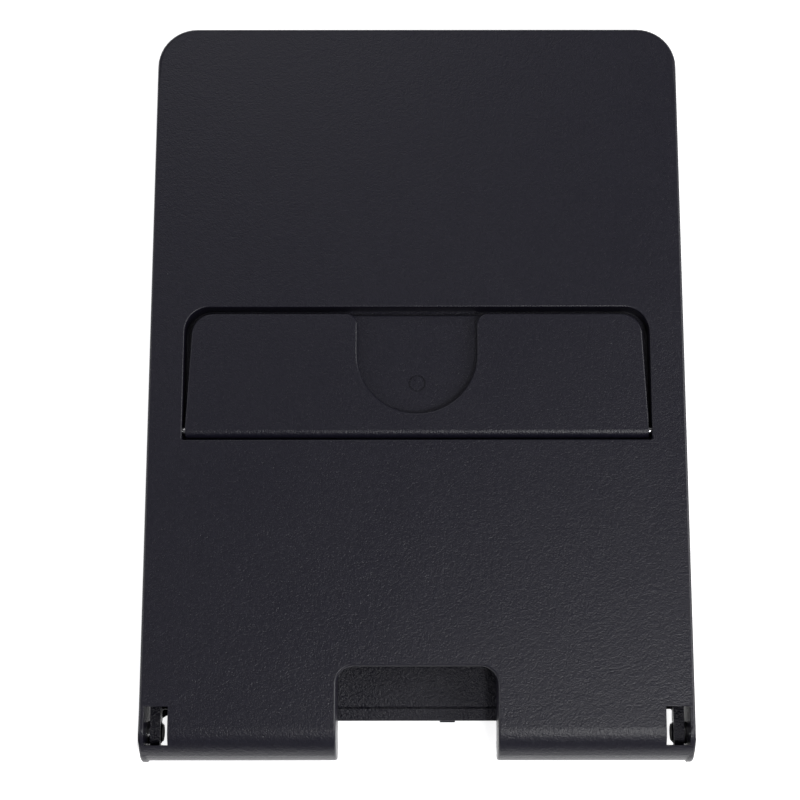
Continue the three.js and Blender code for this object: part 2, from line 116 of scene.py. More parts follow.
# ---- sizes and colours a user would change ------------------------------------------------------
class StandFinish(bpy.types.PropertyGroup):
    """Colours and surface of the mouldings, pads and pins"""

    plastic: FloatVectorProperty(
        name="Plastic", description="Colour of the black plastic", subtype="COLOR",
        default=(0.0080, 0.0075, 0.0145), min=0, max=1)
    plastic_roughness: FloatProperty(
        name="Roughness", description="Roughness of the textured faces", subtype="FACTOR",
        default=0.33, min=0, max=1)
    rim_roughness: FloatProperty(
        name="Rim roughness", description="Roughness of the rounded edges", subtype="FACTOR",
        default=0.34, min=0, max=1)
    grain: FloatProperty(
        name="Grain", description="Size of the texture that the mould leaves", subtype="DISTANCE",
        default=0.3 * MM, min=0.05 * MM, max=2 * MM)
    rubber: FloatVectorProperty(
        name="Rubber", description="Colour of the pads", subtype="COLOR",
        default=(0.011, 0.011, 0.012), min=0, max=1)
    steel: FloatVectorProperty(
        name="Steel", description="Colour of the pins", subtype="COLOR",
        default=(0.62, 0.62, 0.63), min=0, max=1)


class StandRims(bpy.types.PropertyGroup):
    """Radii of the rounded edges"""

    outer: FloatProperty(
        name="Outer rim", description="Radius round the front face", subtype="DISTANCE",
        default=0.8 * MM, min=0.1 * MM, max=WIDEST_RIM)
    opening: FloatProperty(
        name="Opening rim", description="Radius round the cable notch", subtype="DISTANCE",
        default=0.4 * MM, min=0.1 * MM, max=WIDEST_RIM)
    fine: FloatProperty(
        name="Fine edge", description="Radius on pocket, shelf and window edges", subtype="DISTANCE",
        default=0.22 * MM, min=0.05 * MM, max=0.5 * MM)
    steps: IntProperty(name="Steps", description="Strips in each rounded edge", default=3, min=1, max=6)


class StandMarks(bpy.types.PropertyGroup):
    """Small marks that moulding leaves, and the ribs of the pads"""

    gate: FloatProperty(
        name="Gate ring", description="Radius of the ring on the pocket floor", subtype="DISTANCE",
        default=1.6 * MM, min=0.5 * MM, max=4 * MM)
    ejector: FloatProperty(
        name="Ejector mark", description="Radius of the discs behind the face", subtype="DISTANCE",
        default=1.9 * MM, min=0.5 * MM, max=4 * MM)
    pad_ribs: IntProperty(name="Pad ribs", description="Ribs on each shelf pad", default=11, min=2, max=30)
    foot_rings: IntProperty(name="Foot rings", description="Rings under each foot", default=4, min=1, max=8)


class StandStage(bpy.types.PropertyGroup):
    """Camera, floor and lights"""

    lens: FloatProperty(name="Lens", description="Focal length in millimetres", default=68.5, min=20, max=200)
    height: FloatProperty(
        name="Camera height", description="Height of the camera above the desk", subtype="DISTANCE",
        default=0.2905, min=0.1, max=1)
    tilt: FloatProperty(
        name="Camera tilt", description="Tilt of the camera towards the free end", subtype="ANGLE",
        default=math.radians(9.82), min=0, max=1)
    daylight: FloatProperty(name="Daylight", description="Strength of the sky", default=0.17, min=0, max=5)
    overhead: FloatProperty(
        name="Overhead", description="Power of the soft light above in watts", default=1.1, min=0, max=50)
    behind: FloatProperty(
        name="Behind", description="Power of the soft light behind in watts", default=0.42, min=0, max=50)
    left: FloatProperty(
        name="Left", description="Power of the soft light on the left in watts", default=0.8, min=0, max=50)
    right: FloatProperty(
        name="Right", description="Power of the soft light on the right in watts", default=2.0, min=0, max=50)


# ---- shader groups ------------------------------------------------------------------------------
def new_group(name, inputs, outputs):
    """An empty shader group with float and vector sockets, and its input and output nodes"""
    tree = bpy.data.node_groups.new(name, "ShaderNodeTree")
    for label, default in inputs.items():
        kind = "NodeSocketVector" if default is None else "NodeSocketFloat"
        socket = tree.interface.new_socket(label, in_out="INPUT", socket_type=kind)
        if default is not None:
            socket.default_value = default
    for label in outputs:
        tree.interface.new_socket(label, in_out="OUTPUT", socket_type="NodeSocketFloat")
    return tree, tree.nodes.new("NodeGroupInput").outputs, tree.nodes.new("NodeGroupOutput").inputs


def add(tree, kind, inputs=None, **settings):
    """A node in tree with its settings made and its inputs linked or set"""
    node = tree.nodes.new(kind)
    for name, value in settings.items():
        setattr(node, name, value)
    for socket, value in (inputs or {}).items():
        if isinstance(value, bpy.types.NodeSocket):
            tree.links.new(value, node.inputs[socket])
        else:
            node.inputs[socket].default_value = value
    return node.outputs


def math_node(tree, operation, *values, clamp=False):
    """The output of a maths node whose inputs are linked or set to values"""
    return add(tree, "ShaderNodeMath", dict(enumerate(values)), operation=operation, use_clamp=clamp)[0]


def remap(tree, value, low, high, to_low, to_high):
    """value, moved from the range low to high into the range to_low to to_high"""
    sockets = {"Value": value, "From Min": low, "From Max": high, "To Min": to_low, "To Max": to_high}
    return add(tree, "ShaderNodeMapRange", sockets)[0]


def grain_group():
    """Fine spark-eroded texture: rounded grains with small pits between them"""
    tree, given, out = new_group("mould_grain", {"Vector": None, "Size": 0.3 * MM}, ("Height",))
    scale = math_node(tree, "DIVIDE", 1.0, given["Size"])
    grains = add(tree, "ShaderNodeTexNoise", {
        "Vector": given["Vector"], "Scale": scale, "Detail": 2.0, "Roughness": 0.55})["Fac"]
    coarse = math_node(tree, "MULTIPLY", scale, 0.45)
    pits = add(tree, "ShaderNodeTexVoronoi", {
        "Vector": given["Vector"], "Scale": coarse, "Smoothness": 0.6}, feature="SMOOTH_F1")["Distance"]
    shallow = math_node(tree, "MULTIPLY", pits, 0.4)
    tree.links.new(math_node(tree, "ADD", grains, shallow), out["Height"])
    return tree


def drift_group():
    """Slow change over the surface, from how the melt flowed and where hands have been"""
    tree, given, out = new_group("slow_drift", {"Vector": None, "Size": 30 * MM, "Amount": 0.05}, ("Change",))
    scale = math_node(tree, "DIVIDE", 1.0, given["Size"])
    noise = add(tree, "ShaderNodeTexNoise", {
        "Vector": given["Vector"], "Scale": scale, "Detail": 3.0, "Roughness": 0.6, "Distortion": 0.4})["Fac"]
    centred = math_node(tree, "SUBTRACT", noise, 0.5)
    doubled = math_node(tree, "MULTIPLY", centred, 2.0)
    tree.links.new(math_node(tree, "MULTIPLY", doubled, given["Amount"]), out["Change"])
    return tree


def dust_group():
    """Scattered specks: one small dot in some of the cells of a wide pattern"""
    inputs = {"Vector": None, "Spacing": 5 * MM, "Speck": 0.03, "Share": 0.35}
    tree, given, out = new_group("dust_specks", inputs, ("Mask",))
    scale = math_node(tree, "DIVIDE", 1.0, given["Spacing"])
    cells = add(tree, "ShaderNodeTexVoronoi", {"Vector": given["Vector"], "Scale": scale})
    near = math_node(tree, "LESS_THAN", cells["Distance"], given["Speck"])
    luck = add(tree, "ShaderNodeSeparateColor", {"Color": cells["Color"]})["Red"]
    chosen = math_node(tree, "LESS_THAN", luck, given["Share"])
    tree.links.new(math_node(tree, "MULTIPLY", near, chosen), out["Mask"])
    return tree


GROUP_MAKERS = {"mould_grain": grain_group, "slow_drift": drift_group, "dust_specks": dust_group}


def place_group(tree, name, **inputs):
    """The shared group called name, placed in a material's tree with its own values"""
    shared = bpy.data.node_groups.get(name) or GROUP_MAKERS[name]()
    values = {key.title(): value for key, value in inputs.items()}
    return add(tree, "ShaderNodeGroup", values, node_tree=shared)


# ---- materials ----------------------------------------------------------------------------------
def new_material(name):
    """An empty material, its Principled shader's inputs and an Object coordinate"""
    material = bpy.data.materials.new(name)
    material.use_nodes = True
    tree = material.node_tree
    tree.nodes.clear()
    shader = tree.nodes.new("ShaderNodeBsdfPrincipled")
    output = tree.nodes.new("ShaderNodeOutputMaterial")
    tree.links.new(shader.outputs["BSDF"], output.inputs["Surface"])
    return material, tree, shader.inputs, add(tree, "ShaderNodeTexCoord")["Object"]


def bump(tree, shader, height, depth, strength=1.0):
    """Lets height stand out of the surface by depth"""
    normal = add(tree, "ShaderNodeBump", {"Height": height, "Distance": depth, "Strength": strength})[0]
    tree.links.new(normal, shader["Normal"])


def tinted(tree, amount, low_colour, high_colour):
    """A colour that runs from low_colour to high_colour as amount goes from 0 to 1"""
    mix = tree.nodes.new("ShaderNodeMix")
    mix.data_type = "RGBA"
    tree.links.new(amount, mix.inputs["Factor"])
    mix.inputs["A"].default_value = (*low_colour, 1)
    mix.inputs["B"].default_value = (*high_colour, 1)
    return mix.outputs["Result"]


def plastic_material(name, roughness, grain_depth=0.07 * MM, shade=1.0):
    """Black plastic with mould grain, slow drift and a little dust; shade below 1 darkens its colour as
    painted shade
    """
    finish = bpy.context.scene.stand_finish
    material, tree, shader, place = new_material(name)
    grain = place_group(tree, "mould_grain", vector=place, size=finish.grain)["Height"]
    drift = place_group(tree, "slow_drift", vector=place, size=26 * MM, amount=0.045)["Change"]
    dust = place_group(tree, "dust_specks", vector=place, spacing=7 * MM, speck=0.018, share=0.3)["Mask"]
    # painted shade: shade below 1 darkens the whole colour of mouldings that sit in shade
    black = [channel * shade for channel in finish.plastic]
    worn = [channel * shade * 1.45 for channel in finish.plastic]
    base = tinted(tree, remap(tree, grain, GRAIN_LOW, GRAIN_HIGH, 0.0, 1.0), black, worn)
    dusty = tree.nodes.new("ShaderNodeMix")
    dusty.data_type = "RGBA"
    tree.links.new(math_node(tree, "MULTIPLY", dust, 0.5), dusty.inputs["Factor"])
    tree.links.new(base, dusty.inputs["A"])
    dusty.inputs["B"].default_value = DUST_COLOUR
    tree.links.new(dusty.outputs["Result"], shader["Base Color"])
    patchy = math_node(tree, "ADD", drift, roughness)
    grainy = math_node(tree, "ADD", patchy, remap(tree, grain, GRAIN_LOW, GRAIN_HIGH, -0.03, 0.05))
    dust_dulls = math_node(tree, "MULTIPLY", dust, 0.3)
    tree.links.new(math_node(tree, "ADD", grainy, dust_dulls, clamp=True), shader["Roughness"])
    bump(tree, shader, grain, grain_depth)
    return material


def plastics():
    """The textured face and the smoother rounded edge that every moulding has"""
    finish = bpy.context.scene.stand_finish
    names = ("black_textured_plastic", "black_rim_plastic")
    if names[0] not in bpy.data.materials:
        plastic_material(names[0], finish.plastic_roughness)
        plastic_material(names[1], finish.rim_roughness, 0.02 * MM)
    return [bpy.data.materials[name] for name in names]


def inner_plastics_with_painted_shade():
    """The same pair for the mouldings behind the face, a little duller and darkened by painted shade"""
    finish = bpy.context.scene.stand_finish
    names = ("inner_textured_plastic", "inner_rim_plastic")
    if names[0] not in bpy.data.materials:
        plastic_material(names[0], finish.plastic_roughness + DULLER, 0.27 * MM, PAINTED_SHADE)
        plastic_material(names[1], finish.rim_roughness + DULLER, 0.025 * MM, PAINTED_SHADE)
    return [bpy.data.materials[name] for name in names]


def rubber_material():
    """Matt black rubber with a grey bloom, for the pads"""
    finish = bpy.context.scene.stand_finish
    name = "soft_black_rubber"
    if name in bpy.data.materials:
        return bpy.data.materials[name]
    material, tree, shader, place = new_material(name)
    grain = place_group(tree, "mould_grain", vector=place, size=0.18 * MM)["Height"]
    drift = place_group(tree, "slow_drift", vector=place, size=4 * MM, amount=0.06)["Change"]
    dust = place_group(tree, "dust_specks", vector=place, spacing=1.6 * MM, speck=0.05, share=0.5)["Mask"]
    grey = [channel * 2.4 for channel in finish.rubber]
    specks = math_node(tree, "MULTIPLY", dust, 0.6)
    bloom = math_node(tree, "ADD", remap(tree, grain, 0.3, 1.0, 0.0, 0.6), specks)
    tree.links.new(tinted(tree, bloom, list(finish.rubber), grey), shader["Base Color"])
    tree.links.new(math_node(tree, "ADD", drift, 0.82, clamp=True), shader["Roughness"])
    shader["Specular IOR Level"].default_value = 0.35
    bump(tree, shader, grain, 0.02 * MM, 0.7)
    return material


def steel_material():
    """Bright turned steel, for the sides and chamfers of the pins"""
    finish = bpy.context.scene.stand_finish
    name = "turned_steel"
    if name in bpy.data.materials:
        return bpy.data.materials[name]
    material, tree, shader, place = new_material(name)
    centred = add(tree, "ShaderNodeMapping", {"Vector": place, "Location": (0, -PIN_Y, -PIN_Z)})[0]
    rings = add(tree, "ShaderNodeTexWave", {
        "Vector": centred, "Scale": 1400.0, "Distortion": 0.6, "Detail": 1.0},
        wave_type="RINGS", rings_direction="X")["Fac"]
    drift = place_group(tree, "slow_drift", vector=place, size=1.2 * MM, amount=0.08)["Change"]
    dull = [channel * 0.72 for channel in finish.steel]
    tree.links.new(tinted(tree, rings, list(finish.steel), dull), shader["Base Color"])
    shader["Metallic"].default_value = 1.0
    tree.links.new(math_node(tree, "ADD", drift, 0.24, clamp=True), shader["Roughness"])
    bump(tree, shader, rings, 0.004 * MM, 0.5)
    return material


def painted_shade_end_material():
    """The cut end of a pin, painted dark as shade"""
    name = "oiled_pin_end"
    if name in bpy.data.materials:
        return bpy.data.materials[name]
    material, tree, shader, place = new_material(name)
    grain = place_group(tree, "mould_grain", vector=place, size=0.12 * MM)["Height"]
    drift = place_group(tree, "slow_drift", vector=place, size=1.5 * MM, amount=0.1)["Change"]
    bright = remap(tree, grain, 0.3, 1.0, 0.0, 0.8)
    # painted shade: a near-black colour in place of steel
    tree.links.new(tinted(tree, bright, (0.010, 0.009, 0.009), (0.035, 0.033, 0.032)), shader["Base Color"])
    tree.links.new(math_node(tree, "ADD", drift, 0.75, clamp=True), shader["Roughness"])
    shader["Specular IOR Level"].default_value = 0.15
    bump(tree, shader, grain, 0.01 * MM, 0.5)
    return material


# ---- mesh helpers -------------------------------------------------------------------------------
def link(obj):
    """Puts obj in the scene"""
    bpy.context.scene.collection.objects.link(obj)
    return obj


def baked(obj):
    """Turns obj's modifiers into plain mesh"""
    bpy.context.view_layer.update()
    depsgraph = bpy.context.evaluated_depsgraph_get()
    mesh = bpy.data.meshes.new_from_object(
        obj.evaluated_get(depsgraph), preserve_all_data_layers=True, depsgraph=depsgraph)
    obj.modifiers.clear()
    obj.data = mesh
    return obj


def with_mesh(name, bm, material=None):
    """A smooth-shaded object made from a finished bmesh"""
    bmesh.ops.recalc_face_normals(bm, faces=bm.faces)
    mesh = bpy.data.meshes.new(name)
    bm.to_mesh(mesh)
    bm.free()
    mesh.shade_smooth()
    mesh.set_sharp_from_angle(angle=TURNED_CREASE)
    if material:
        mesh.materials.append(material)
    return link(bpy.data.objects.new(name, mesh))


def finished(obj, body, slot, *nodes):
    """Hangs obj on its body's empty and hides the CAD nodes that it replaces. The slot is not used."""
    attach(obj, body)
    if nodes:
        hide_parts(*nodes)
    return obj


def rounded_copy(node, name, rim_of, materials, cutters=()):
    """A merged copy of a CAD node whose edges are rounded by the radius that rim_of gives them.

    The second of materials goes on the rounded strips.
    """
    bm = bmesh.new()
    bm.from_mesh(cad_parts[node].data)
    bmesh.ops.remove_doubles(bm, verts=bm.verts, dist=1e-6)
    bmesh.ops.dissolve_limit(
        bm, angle_limit=FLAT_TURN, use_dissolve_boundaries=False,
        verts=bm.verts, edges=bm.edges)
    weights = bm.edges.layers.float.new("bevel_weight_edge")
    for edge in bm.edges:
        if len(edge.link_faces) == 2 and edge.calc_face_angle() > SHARP_TURN:
            edge[weights] = rim_of(edge) / WIDEST_RIM
    mesh = bpy.data.meshes.new(name)
    bm.to_mesh(mesh)
    bm.free()
    for material in materials:
        mesh.materials.append(material)
    mesh.shade_smooth()
    mesh.set_sharp_from_angle(angle=CREASE)
    obj = link(bpy.data.objects.new(name, mesh))
    bevel = obj.modifiers.new("rounding", "BEVEL")
    bevel.limit_method = "WEIGHT"
    bevel.width = WIDEST_RIM
    bevel.segments = bpy.context.scene.stand_rims.steps
    bevel.use_clamp_overlap = False
    bevel.material = 1
    bevel.miter_outer = "MITER_ARC"
    for cutter in cutters:
        cut = obj.modifiers.new("cut", "BOOLEAN")
        cut.operation = "DIFFERENCE"
        cut.solver = "EXACT"
        cut.object = cutter
    normals = obj.modifiers.new("normals", "WEIGHTED_NORMAL")
    normals.keep_sharp = True
    baked(obj)
    for cutter in cutters:
        bpy.data.objects.remove(cutter)
    return obj


def turned(profile, place, sides):
    """A closed body of revolution. profile runs from one end of the axis to the other as (radius,
    distance) pairs, and place turns two cross coordinates and a distance into a point."""
    bm = bmesh.new()
    rings = []
    for radius, distance in profile:
        steps = sides if radius else 1
        angles = [math.tau * step / sides for step in range(steps)]
        points = [place(radius * math.cos(a), radius * math.sin(a), distance) for a in angles]
        rings.append([bm.verts.new(point) for point in points])
    for near, far in zip(rings, rings[1:]):
        for step in range(sides):
            after = (step + 1) % sides
            corners = [near[step % len(near)], near[after % len(near)]]
            corners += [far[after % len(far)], far[step % len(far)]]
            bm.faces.new(dict.fromkeys(corners))
    return bm


def rounded_slab(low, high, corner, rim, steps=6):
    """A slab with rounded corners in plan and a small rounded edge, top and bottom"""
    bm = bmesh.new()
    levels = ((low.z, rim), (low.z + rim * 0.3, rim * 0.3), (low.z + rim, 0))
    levels += tuple((low.z + high.z - z, inset) for z, inset in reversed(levels))
    loops = []
    for z, inset in levels:
        loop = []
        for quarter in range(4):
            x = (high.x if quarter in (0, 1) else low.x)
            y = (high.y if quarter in (1, 2) else low.y)
            toward = Vector(((low.x + high.x) / 2 - x, (low.y + high.y) / 2 - y))
            centre = Vector((x + math.copysign(corner, toward.x), y + math.copysign(corner, toward.y)))
            for step in range(steps + 1):
                angle = (quarter - 1 + step / steps) * math.pi / 2
                reach = corner - inset
                loop.append(bm.verts.new(
                    (centre.x + reach * math.cos(angle), centre.y + reach * math.sin(angle), z)))
        loops.append(loop)
    for under, over in zip(loops, loops[1:]):
        for i in range(len(under)):
            j = (i + 1) % len(under)
            bm.faces.new((under[i], under[j], over[j], over[i]))
    bm.faces.new(loops[0])
    bm.faces.new(loops[-1])
    return bm


def on_plane(value, *planes):
    """Whether value lies on one of the planes"""
    return any(abs(value - plane) < SNAP for plane in planes)


def middle_of(edge):
    """The point halfway along edge"""
    return (edge.verts[0].co + edge.verts[1].co) / 2


def both_at(edge, axis, *planes):
    """Whether both ends of edge lie on one of the planes across an axis"""
    return all(on_plane(vert.co[axis], *planes) for vert in edge.verts)



# ---- geometry node trees ------------------------------------------------------------------------
def geometry_tree(name, inputs):
    """An empty Geometry Nodes tree with a Geometry input and output and named float or int inputs"""
    tree = bpy.data.node_groups.new(name, "GeometryNodeTree")
    tree.interface.new_socket("Geometry", in_out="INPUT", socket_type="NodeSocketGeometry")
    for label, default in inputs.items():
        kind = "NodeSocketInt" if isinstance(default, int) else "NodeSocketFloat"
        tree.interface.new_socket(label, in_out="INPUT", socket_type=kind).default_value = default
    tree.interface.new_socket("Geometry", in_out="OUTPUT", socket_type="NodeSocketGeometry")
    return tree, tree.nodes.new("NodeGroupInput").outputs, tree.nodes.new("NodeGroupOutput").inputs


def end_tree(tree, instances, out, material, keep=None):
    """Ends a tree: the instances made real, joined to the geometry in keep, with one material"""
    real = add(tree, "GeometryNodeRealizeInstances", {0: instances})[0]
    if keep:
        join = tree.nodes.new("GeometryNodeJoinGeometry")
        tree.links.new(real, join.inputs[0])
        tree.links.new(keep, join.inputs[0])
        real = join.outputs[0]
    painted = add(tree, "GeometryNodeSetMaterial", {"Geometry": real, "Material": material})[0]
    tree.links.new(painted, out["Geometry"])


def grow(obj, tree, **values):
    """Runs a Geometry Nodes tree on obj and turns the result into plain mesh"""
    modifier = obj.modifiers.new(tree.name, "NODES")
    modifier.node_group = tree
    for item in tree.interface.items_tree:
        key = item.name.lower().replace(" ", "_")
        if item.item_type == "SOCKET" and item.in_out == "INPUT" and key in values:
            modifier[item.identifier] = values[key]
    return baked(obj)


def rib_tree(material):
    """Round-backed ribs in a row along X, each lying along Y, added to the pad they are given"""
    tree, given, out = geometry_tree("pad_ribs", {
        "Count": 9, "Span": 18 * MM, "Length": 5 * MM, "Rib Radius": 0.3 * MM, "Centre X": 0.0,
        "Centre Y": 0.0, "Height": 0.0})
    step = math_node(tree, "DIVIDE", given["Span"], math_node(tree, "SUBTRACT", given["Count"], 1.0))
    half = math_node(tree, "MULTIPLY", given["Span"], -0.5)
    start = add(tree, "ShaderNodeCombineXYZ", {
        "X": math_node(tree, "ADD", given["Centre X"], half),
        "Y": given["Centre Y"], "Z": given["Height"]})[0]
    offset = add(tree, "ShaderNodeCombineXYZ", {"X": step})[0]
    row = add(tree, "GeometryNodeMeshLine", {
        "Count": given["Count"], "Start Location": start, "Offset": offset})[0]
    core = math_node(tree, "MULTIPLY", given["Rib Radius"], 2.0)
    bar = add(tree, "GeometryNodeMeshCylinder", {
        "Vertices": 12, "Side Segments": 1, "Radius": given["Rib Radius"],
        "Depth": math_node(tree, "SUBTRACT", given["Length"], core)})[0]
    caps = add(tree, "GeometryNodeMeshUVSphere", {
        "Segments": 12, "Rings": 6, "Radius": given["Rib Radius"]})[0]
    end = math_node(tree, "MULTIPLY", math_node(tree, "SUBTRACT", given["Length"], core), 0.5)
    solid_rib = tree.nodes.new("GeometryNodeJoinGeometry")
    tree.links.new(bar, solid_rib.inputs[0])
    for sign in (1.0, -1.0):
        shift = add(tree, "ShaderNodeCombineXYZ", {"Z": math_node(tree, "MULTIPLY", end, sign)})[0]
        moved = add(tree, "GeometryNodeTransform", {"Geometry": caps, "Translation": shift})[0]
        tree.links.new(moved, solid_rib.inputs[0])
    laid = add(tree, "GeometryNodeTransform", {
        "Geometry": solid_rib.outputs[0], "Rotation": (math.pi / 2, 0, 0)})[0]
    ribs = add(tree, "GeometryNodeInstanceOnPoints", {"Points": row, "Instance": laid})[0]
    end_tree(tree, ribs, out, material, keep=given["Geometry"])
    return tree


def ring_tree(material):
    """Concentric rings round each point it is given, each half sunk in the face it stands on"""
    tree, given, out = geometry_tree("foot_rings", {"Count": 4, "Outer": 4 * MM, "Thickness": 0.25 * MM})
    index = add(tree, "GeometryNodeInputIndex")[0]
    row = add(tree, "GeometryNodeMeshLine", {"Count": given["Count"], "Offset": (0, 0, 0)})[0]
    part = math_node(tree, "DIVIDE", math_node(tree, "ADD", index, 1.0), given["Count"])
    size = math_node(tree, "MULTIPLY", part, given["Outer"])
    circle = add(tree, "GeometryNodeCurvePrimitiveCircle", {"Resolution": 40, "Radius": 1.0})[0]
    rings = add(tree, "GeometryNodeInstanceOnPoints", {
        "Points": row, "Instance": circle,
        "Scale": add(tree, "ShaderNodeCombineXYZ", {"X": size, "Y": size, "Z": 1.0})[0]})[0]
    lines = add(tree, "GeometryNodeRealizeInstances", {0: rings})[0]
    section = add(tree, "GeometryNodeCurvePrimitiveCircle", {
        "Resolution": 8, "Radius": given["Thickness"]})[0]
    tubes = add(tree, "GeometryNodeCurveToMesh", {"Curve": lines, "Profile Curve": section})[0]
    feet = add(tree, "GeometryNodeInstanceOnPoints", {"Points": given["Geometry"], "Instance": tubes})[0]
    end_tree(tree, feet, out, material)
    return tree


def disc_tree(material):
    """A low disc with a chamfered edge on each point it is given"""
    tree, given, out = geometry_tree("ejector_discs", {"Radius": 2 * MM, "Height": 0.1 * MM})
    upper = math_node(tree, "MULTIPLY", given["Radius"], 0.94)
    disc = add(tree, "GeometryNodeMeshCone", {
        "Vertices": 32, "Radius Top": given["Radius"], "Radius Bottom": upper, "Depth": given["Height"]})[0]
    marks = add(tree, "GeometryNodeInstanceOnPoints", {"Points": given["Geometry"], "Instance": disc})[0]
    end_tree(tree, marks, out, material)
    return tree


def points_object(name, points):
    """A mesh of loose points that a Geometry Nodes tree can put things on"""
    mesh = bpy.data.meshes.new(name)
    mesh.from_pydata(points, [], [])
    return link(bpy.data.objects.new(name, mesh))


# ---- operators ----------------------------------------------------------------------------------
class STAND_OT_stage(bpy.types.Operator):
    """Make the camera, the floor and the soft light"""

    bl_idname = "stand.stage"
    bl_label = "Stage"

    def execute(self, context):
        stage = context.scene.stand_stage
        camera = link(bpy.data.objects.new("camera", bpy.data.cameras.new("camera")))
        camera.data.lens = stage.lens
        camera.data.clip_start = 0.01
        camera.data.shift_x, camera.data.shift_y = CAMERA_SHIFT
        camera.location = (CAMERA_X, from_round_end(CAMERA_DISTANCE), stage.height)
        camera.rotation_euler = (stage.tilt, 0, CAMERA_ROLL)
        context.scene.camera = camera
        world = bpy.data.worlds.new("studio")
        context.scene.world = world
        world.use_nodes = True
        sky = world.node_tree.nodes["Background"].inputs
        sky["Color"].default_value = DAYLIGHT_TINT
        sky["Strength"].default_value = stage.daylight
        self.floor()
        for name, (place, size) in LAMPS.items():
            self.soft_light(name, getattr(stage, name), place, size)
        context.scene.view_settings.view_transform = "Standard"
        return {"FINISHED"}

    def floor(self):
        """A white ground that glows, so that the background is bright all round"""
        mesh = bpy.data.meshes.new("floor")
        corners = ((-1, -1), (1, -1), (1, 1), (-1, 1))
        mesh.from_pydata([(x * FLOOR_REACH, y * FLOOR_REACH, 0) for x, y in corners], [], [(0, 1, 2, 3)])
        floor = link(bpy.data.objects.new("floor", mesh))
        floor.location.z = -0.1 * MM
        material, _, shader, _ = new_material("white_floor")
        shader["Base Color"].default_value = (0.9, 0.9, 0.9, 1)
        shader["Emission Color"].default_value = (1, 1, 1, 1)
        shader["Emission Strength"].default_value = FLOOR_GLOW
        mesh.materials.append(material)

    def soft_light(self, name, power, place, size):
        """A square light that points at the stand"""
        light = bpy.data.lights.new(name, "AREA")
        light.energy = power
        light.size = size
        lamp = link(bpy.data.objects.new(name, light))
        lamp.location = place
        lamp.rotation_euler = (-Vector(place)).to_track_quat("-Z", "Y").to_euler()


class STAND_OT_backrest(bpy.types.Operator):
    """Make the backrest moulding with its pocket, notch and windows"""

    bl_idname = "stand.backrest"
    bl_label = "Backrest"

    def execute(self, context):
        rims = context.scene.stand_rims
        face = PANEL_HIGH.z
        side = PANEL_HIGH.x
        corner_start = FREE_END - CORNER
        straight_start = PIN_Y + 3 * MM

        def rim_of(edge):
            middle = middle_of(edge)
            if both_at(edge, Z, face):
                if side - SNAP > abs(middle.x) > WINDOW_INNER and middle.y < WINDOWS_END:
                    return rims.fine * 0.4  # the outer rim leaves little room here
                if abs(middle.x) > side - SNAP or (middle.y > corner_start and not self.in_pocket(middle)):
                    return rims.outer
                if abs(middle.x) < NOTCH_HALF + SNAP and middle.y < NOTCH_END:
                    return rims.opening
                return rims.fine
            if math.hypot(middle.y - PIN_Y, middle.z - PIN_Z) < PIN_HOLE_REACH:
                return 0
            if both_at(edge, X, -side, side) and middle.z > PANEL_LOW.z + SNAP:
                return rims.outer if middle.y > straight_start else rims.opening
            if both_at(edge, X, -NOTCH_HALF, NOTCH_HALF) and middle.z > PIN_Z:
                return rims.opening
            if both_at(edge, Z, ISLAND_Z):
                return rims.fine * 0.6
            return 0

        panel = rounded_copy(
            "backrest_panel", "backrest_moulding", rim_of, plastics(), [self.gate_cutter(context)])
        finished(panel, "backrest", "body_plastic", "backrest_panel")
        return {"FINISHED"}

    def in_pocket(self, point):
        """Whether a point of the face lies within the shelf's pocket"""
        return abs(point.x) < SHELF_HIGH.x + 1 * MM and point.y < SHELF_HIGH.y + 3 * MM

    def gate_cutter(self, context):
        """A ring that cuts the mark of the moulding gate into the pocket's floor"""
        outer = context.scene.stand_marks.gate
        inner = outer - 0.32 * MM
        depth = 0.25 * MM
        bm = bmesh.new()
        sides = 48
        angles = [math.tau * step / sides for step in range(sides)]
        loops = []
        for radius, z in ((inner, ISLAND_Z - depth), (inner, ISLAND_Z + 1 * MM),
                          (outer, ISLAND_Z + 1 * MM), (outer, ISLAND_Z - depth)):
            points = [(radius * math.cos(a), GATE_Y + radius * math.sin(a), z) for a in angles]
            loops.append([bm.verts.new(point) for point in points])
        for i, loop in enumerate(loops):
            after = loops[(i + 1) % len(loops)]
            for step in range(sides):
                turn = (step + 1) % sides
                bm.faces.new((loop[step], loop[turn], after[turn], after[step]))
        return with_mesh("gate_cutter", bm)


class STAND_OT_shelf(bpy.types.Operator):
    """Make the fold-out shelf"""

    bl_idname = "stand.shelf"
    bl_label = "Shelf"

    def execute(self, context):
        rims = context.scene.stand_rims

        barrel_end = SHELF_LOW.y + 4 * MM
        underside = SHELF_HIGH.z - 1.5 * MM

        def rim_of(edge):
            middle = middle_of(edge)
            if both_at(edge, Z, SHELF_HIGH.z):
                return rims.fine * 1.3
            if both_at(edge, X, SHELF_LOW.x, SHELF_HIGH.x):
                return rims.fine * 0.7
            if middle.z < underside and middle.y > barrel_end:
                return rims.fine * 0.6
            return 0

        shelf = rounded_copy("shelf", "shelf_moulding", rim_of, plastics())
        finished(shelf, "shelf", "body_plastic", "shelf")
        return {"FINISHED"}


class STAND_OT_base(bpy.types.Operator):
    """Make the base plate with its hinge ears"""

    bl_idname = "stand.base"
    bl_label = "Base plate"

    def execute(self, context):
        rims = context.scene.stand_rims
        front_edge_end = from_round_end(8)
        behind_front = BASE_LOW.y + 4 * MM
        rear = FREE_END - 8 * MM
        seat_strip = 20 * MM

        def rim_of(edge):
            middle = middle_of(edge)
            if not both_at(edge, Z, BASE_TOP, BASE_LOW.z):
                return 0
            if middle.y < front_edge_end and abs(middle.x) < WINDOW_INNER:
                return rims.fine
            if middle.y > behind_front:
                if abs(middle.x) > EAR_INNER or middle.y > rear:
                    return rims.opening
                if abs(middle.x) > seat_strip:
                    return rims.fine
            return 0

        base = rounded_copy("base_plate", "base_moulding", rim_of, inner_plastics_with_painted_shade())
        # the base plate's darker plastic is painted shade
        finished(base, "base", "inner_plastic", "base_plate")
        return {"FINISHED"}


